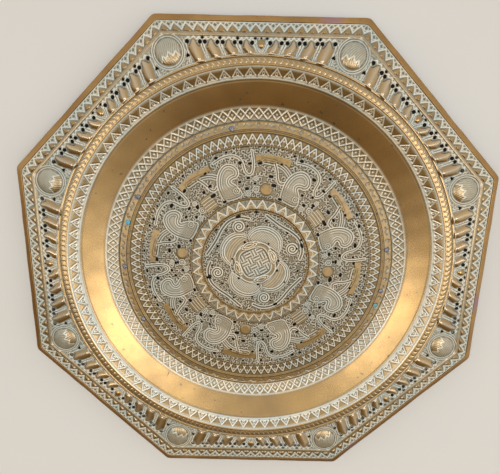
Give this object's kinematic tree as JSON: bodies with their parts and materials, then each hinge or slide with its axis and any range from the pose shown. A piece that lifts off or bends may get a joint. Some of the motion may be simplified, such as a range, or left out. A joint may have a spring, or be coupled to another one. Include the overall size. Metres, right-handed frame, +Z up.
{
  "type": "octagonal serving tray",
  "caption": "Octagonal brass tray: embossed flat rim, plain sloping wall, pierced and chased round floor plate riveted to the ledge, bevelled edge binding.",
  "frame": {"origin": "centre of the tray, on the surface it stands on (underside of the ledge)", "axes": "+Z up out of the tray; +X and +Y each through the middle of a side"},
  "size_m": [0.366, 0.366, 0.02],
  "materials": {
    "brass": "worn polish with pale green residue in the recesses",
    "chased_brass": "chased and pierced, grey-green residue in the recesses",
    "binding_brass": "satin, reddish brown, a little heat tint",
    "rivet_metal": "dull blue-grey domed heads"
  },
  "bodies": {
    "root": {"rim_and_wall": "brass", "floor_plate": "chased_brass", "edge_binding": "binding_brass", "rivet_1": "rivet_metal", "rivet_2": "rivet_metal", "rivet_3": "rivet_metal", "rivet_4": "rivet_metal", "rivet_5": "rivet_metal", "rivet_6": "rivet_metal", "rivet_7": "rivet_metal", "rivet_8": "rivet_metal"}
  },
  "joints": []
}
